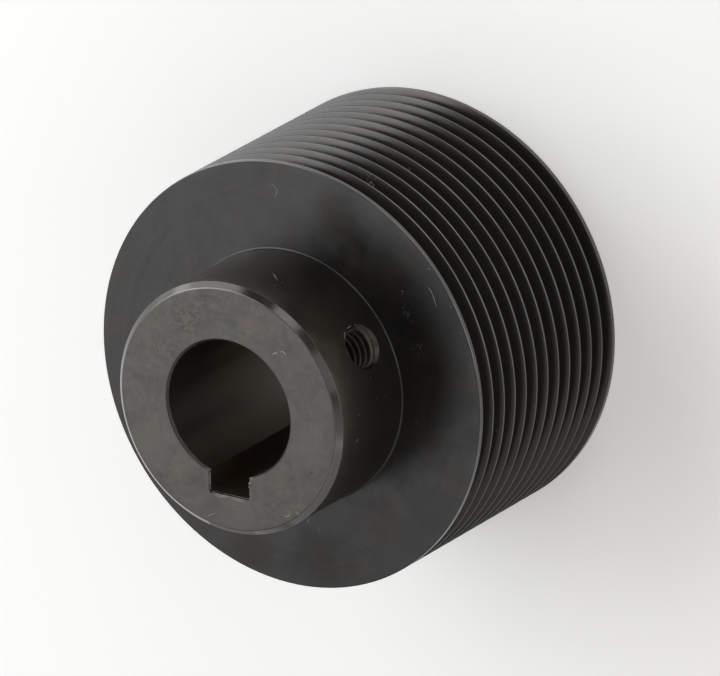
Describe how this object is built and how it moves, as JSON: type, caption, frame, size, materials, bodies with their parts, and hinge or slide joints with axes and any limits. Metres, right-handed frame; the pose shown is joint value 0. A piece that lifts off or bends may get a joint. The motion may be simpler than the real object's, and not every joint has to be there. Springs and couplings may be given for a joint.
{
  "type": "ribbed belt pulley",
  "caption": "Ribbed belt pulley turned from one piece of steel: a wide rim with V grooves, a plain hub, a keyed through bore and a tapped set screw hole.",
  "frame": {"origin": "centre of the bore at the rim's back face, which it stands on", "axes": "+Z along the bore, from the rim towards the hub's end; the keyway opens towards -Y; the set screw hole points outwards at 30 degrees from +X towards +Y"},
  "size_m": [0.078, 0.078, 0.064],
  "materials": {
    "pulley": "black oxide over fine turning marks"
  },
  "bodies": {
    "root": {"pulley": "pulley"}
  },
  "joints": []
}
